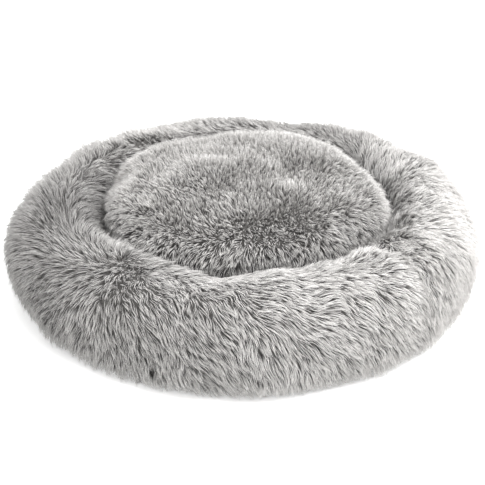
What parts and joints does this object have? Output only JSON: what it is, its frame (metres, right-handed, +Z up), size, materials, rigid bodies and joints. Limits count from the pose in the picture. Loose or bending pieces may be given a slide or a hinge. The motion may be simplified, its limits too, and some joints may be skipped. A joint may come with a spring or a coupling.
{
  "type": "pet cushion bed",
  "caption": "Round plush pet bed: a stuffed long-pile bolster ring around a removable domed cushion, with zipped covers.",
  "frame": {"origin": "centre of the underside, on the floor", "axes": "+Z up along the bed's axis; +X to the right and +Y to the back, as the bed is seen from its front"},
  "size_m": [0.7993, 0.7995, 0.222],
  "materials": {
    "plush": "matte",
    "liner": "matte",
    "fibre": "matte",
    "base_fabric": "matte",
    "zip_tape": "matte",
    "zip_coil": "satin",
    "zip_metal": "satin",
    "label": "matte"
  },
  "bodies": {
    "bolster": {"base_panel": "base_fabric", "ring_plush_left": "plush", "ring_plush_right": "plush", "ring_liner": "liner", "ring_fill": "fibre", "ring_zip_tape_upper": "zip_tape", "ring_zip_tape_lower": "zip_tape", "ring_zip_coil_upper": "zip_coil", "ring_zip_coil_lower": "zip_coil", "ring_zip_stop_start": "zip_metal", "ring_zip_stop_end": "zip_metal", "care_label": "label"},
    "ring_zip_slider": {"ring_zip_slider": "zip_metal"},
    "ring_zip_pull": {"ring_zip_pull": "zip_metal"},
    "cushion": {"cushion_plush_top": "plush", "cushion_underside": "base_fabric", "cushion_liner": "liner", "cushion_fill": "fibre", "cushion_zip_tape_upper": "zip_tape", "cushion_zip_tape_lower": "zip_tape", "cushion_zip_coil_upper": "zip_coil", "cushion_zip_coil_lower": "zip_coil", "cushion_zip_stop_start": "zip_metal", "cushion_zip_stop_end": "zip_metal"},
    "cushion_zip_slider": {"cushion_zip_slider": "zip_metal"},
    "cushion_zip_pull": {"cushion_zip_pull": "zip_metal"}
  },
  "joints": [
    {"name": "ring_zip_run", "type": "hinge", "parent": "bolster", "child": "ring_zip_slider", "pos_m": [0, 0, 0.038], "axis": [0, 0, 1], "range_deg": [-81.6, 0]},
    {"name": "ring_zip_pull_swing", "type": "hinge", "parent": "ring_zip_slider", "child": "ring_zip_pull", "pos_m": [-0.16918, 0.34913, 0.038], "axis": [0, 0, 1], "range_deg": [0, 175]},
    {"name": "cushion_lift", "type": "slide", "parent": "bolster", "child": "cushion", "axis": [0, 0, 1], "range_m": [0, 0.25]},
    {"name": "cushion_zip_run", "type": "hinge", "parent": "cushion", "child": "cushion_zip_slider", "pos_m": [0, 0, 0.048], "axis": [0, 0, 1], "range_deg": [-74.9, 0]},
    {"name": "cushion_zip_pull_swing", "type": "hinge", "parent": "cushion_zip_slider", "child": "cushion_zip_pull", "pos_m": [-0.08321, 0.20074, 0.048], "axis": [0, 0, 1], "range_deg": [0, 175]}
  ]
}
